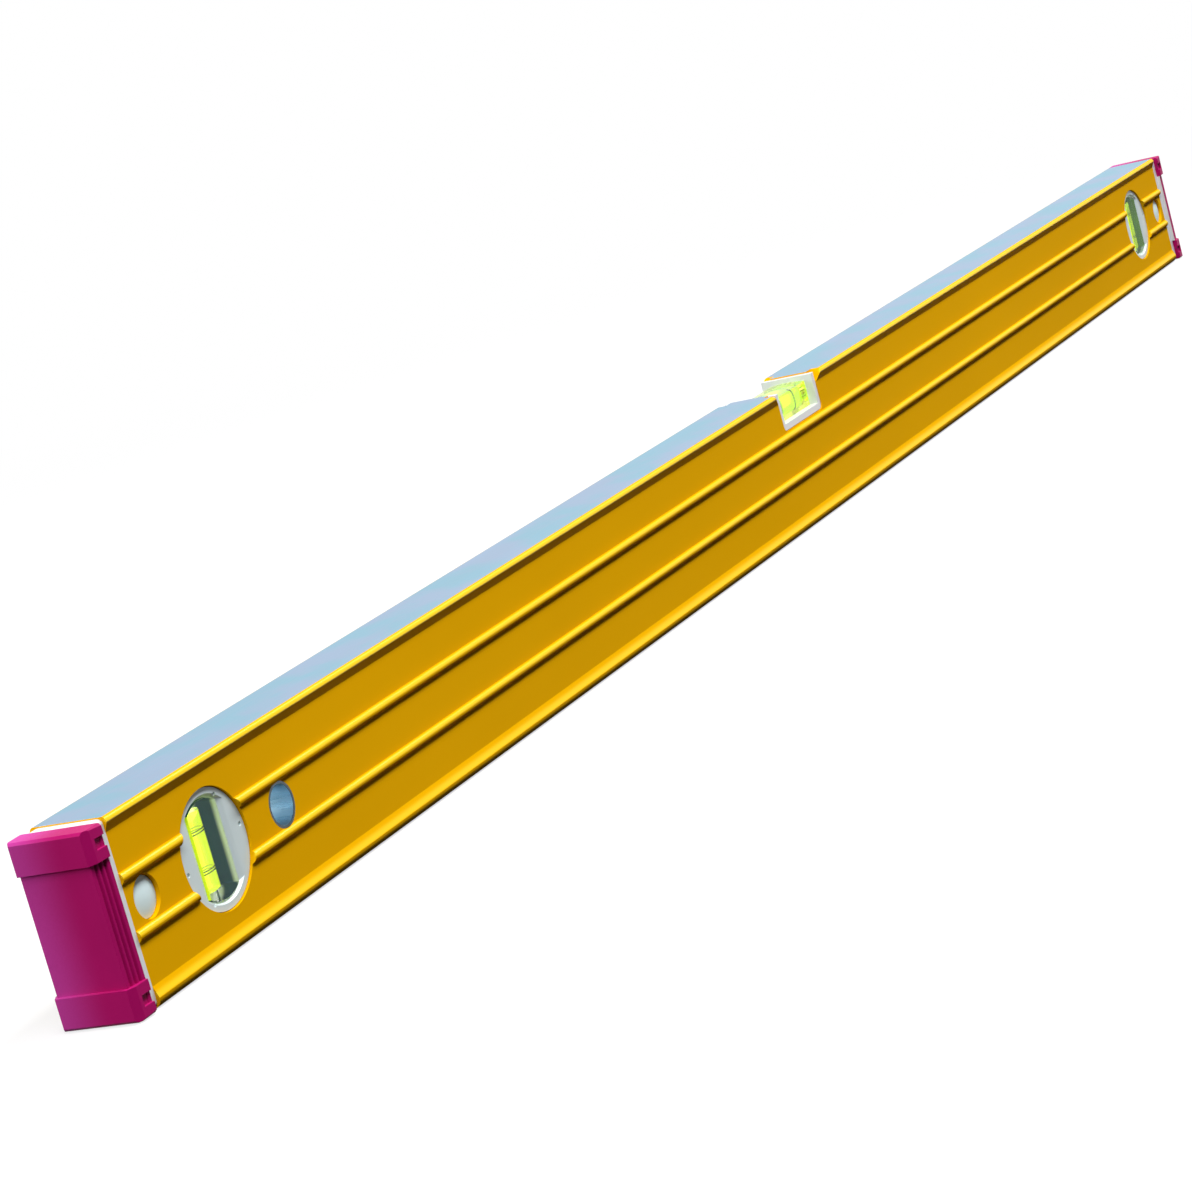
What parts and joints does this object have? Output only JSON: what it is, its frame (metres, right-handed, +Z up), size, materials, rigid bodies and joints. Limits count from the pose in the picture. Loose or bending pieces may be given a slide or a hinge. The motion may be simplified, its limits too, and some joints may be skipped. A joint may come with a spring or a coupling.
{
  "type": "magnetic spirit level",
  "caption": "Long yellow box-section spirit level with a level vial at the top edge, a plumb vial in a round window near each end, rubber-capped ends and magnets in its base.",
  "frame": {"origin": "middle of the bottom measuring face", "axes": "+X along the level to its right end, +Y through its thickness to the back, +Z up to the top measuring face"},
  "size_m": [1.22, 0.0312, 0.063],
  "materials": {
    "yellow_coat": "satin",
    "sleeve_steel": "satin",
    "white_plastic": "satin",
    "slate_plastic": "matte",
    "clear_acrylic": "gloss",
    "lime_liquid": "gloss",
    "bubble_air": "gloss",
    "plug_plastic": "satin",
    "line_ink": "matte",
    "magenta_rubber": "satin",
    "pad_rubber": "satin",
    "magnet_steel": "satin"
  },
  "bodies": {
    "level_body": {"profile": "yellow_coat", "hanging_sleeve": "sleeve_steel", "plumb_left_front_bezel": "white_plastic", "plumb_left_back_bezel": "white_plastic", "plumb_left_carrier": "slate_plastic", "plumb_left_block": "clear_acrylic", "plumb_left_liquid": "lime_liquid", "plumb_left_plug": "plug_plastic", "plumb_left_lines": "line_ink", "plumb_right_front_bezel": "white_plastic", "plumb_right_back_bezel": "white_plastic", "plumb_right_carrier": "slate_plastic", "plumb_right_block": "clear_acrylic", "plumb_right_liquid": "lime_liquid", "plumb_right_plug": "plug_plastic", "plumb_right_lines": "line_ink", "level_housing": "white_plastic", "level_block": "clear_acrylic", "level_liquid": "lime_liquid", "level_plug": "plug_plastic", "level_lines": "line_ink", "cap_left_core": "white_plastic", "cap_left_bumper": "magenta_rubber", "cap_right_core": "white_plastic", "cap_right_bumper": "magenta_rubber", "magnet_1": "magnet_steel", "magnet_2": "magnet_steel", "magnet_3": "magnet_steel", "magnet_4": "magnet_steel", "magnet_tray_1": "slate_plastic", "magnet_tray_2": "slate_plastic", "magnet_tray_3": "slate_plastic", "magnet_tray_4": "slate_plastic"},
    "left_front_catch": {"cap_left_front_catch": "white_plastic", "cap_left_front_pad": "pad_rubber"},
    "left_back_catch": {"cap_left_back_catch": "white_plastic", "cap_left_back_pad": "pad_rubber"},
    "left_plumb_bubble": {"plumb_left_bubble": "bubble_air"},
    "right_front_catch": {"cap_right_front_catch": "white_plastic", "cap_right_front_pad": "pad_rubber"},
    "right_back_catch": {"cap_right_back_catch": "white_plastic", "cap_right_back_pad": "pad_rubber"},
    "right_plumb_bubble": {"plumb_right_bubble": "bubble_air"},
    "level_vial_bubble": {"level_bubble": "bubble_air"}
  },
  "joints": [
    {"name": "left_front_catch_press", "type": "hinge", "parent": "level_body", "child": "left_front_catch", "pos_m": [-0.5934, -0.0089, 0.033], "axis": [0, 0, 1], "range_deg": [0, 16], "stiffness_Nm_per_rad": 0.5},
    {"name": "left_back_catch_press", "type": "hinge", "parent": "level_body", "child": "left_back_catch", "pos_m": [-0.5934, 0.0089, 0.033], "axis": [0, 0, -1], "range_deg": [0, 16], "stiffness_Nm_per_rad": 0.5},
    {"name": "right_front_catch_press", "type": "hinge", "parent": "level_body", "child": "right_front_catch", "pos_m": [0.5934, -0.0089, 0.033], "axis": [0, 0, -1], "range_deg": [0, 16], "stiffness_Nm_per_rad": 0.5},
    {"name": "right_back_catch_press", "type": "hinge", "parent": "level_body", "child": "right_back_catch", "pos_m": [0.5934, 0.0089, 0.033], "axis": [0, 0, 1], "range_deg": [0, 16], "stiffness_Nm_per_rad": 0.5},
    {"name": "left_plumb_bubble_slide", "type": "slide", "parent": "level_body", "child": "left_plumb_bubble", "axis": [0, 0, 1], "range_m": [-0.023, 0], "stiffness_N_per_m": 1, "springref_m": 0.015, "deforming": ["plumb_left_liquid"]},
    {"name": "right_plumb_bubble_slide", "type": "slide", "parent": "level_body", "child": "right_plumb_bubble", "axis": [0, 0, 1], "range_m": [-0.023, 0], "stiffness_N_per_m": 1, "springref_m": 0.015, "deforming": ["plumb_right_liquid"]},
    {"name": "level_bubble_slide", "type": "slide", "parent": "level_body", "child": "level_vial_bubble", "axis": [1, 0, 0], "range_m": [-0.0085, 0.0085], "stiffness_N_per_m": 1, "deforming": ["level_liquid"]}
  ]
}
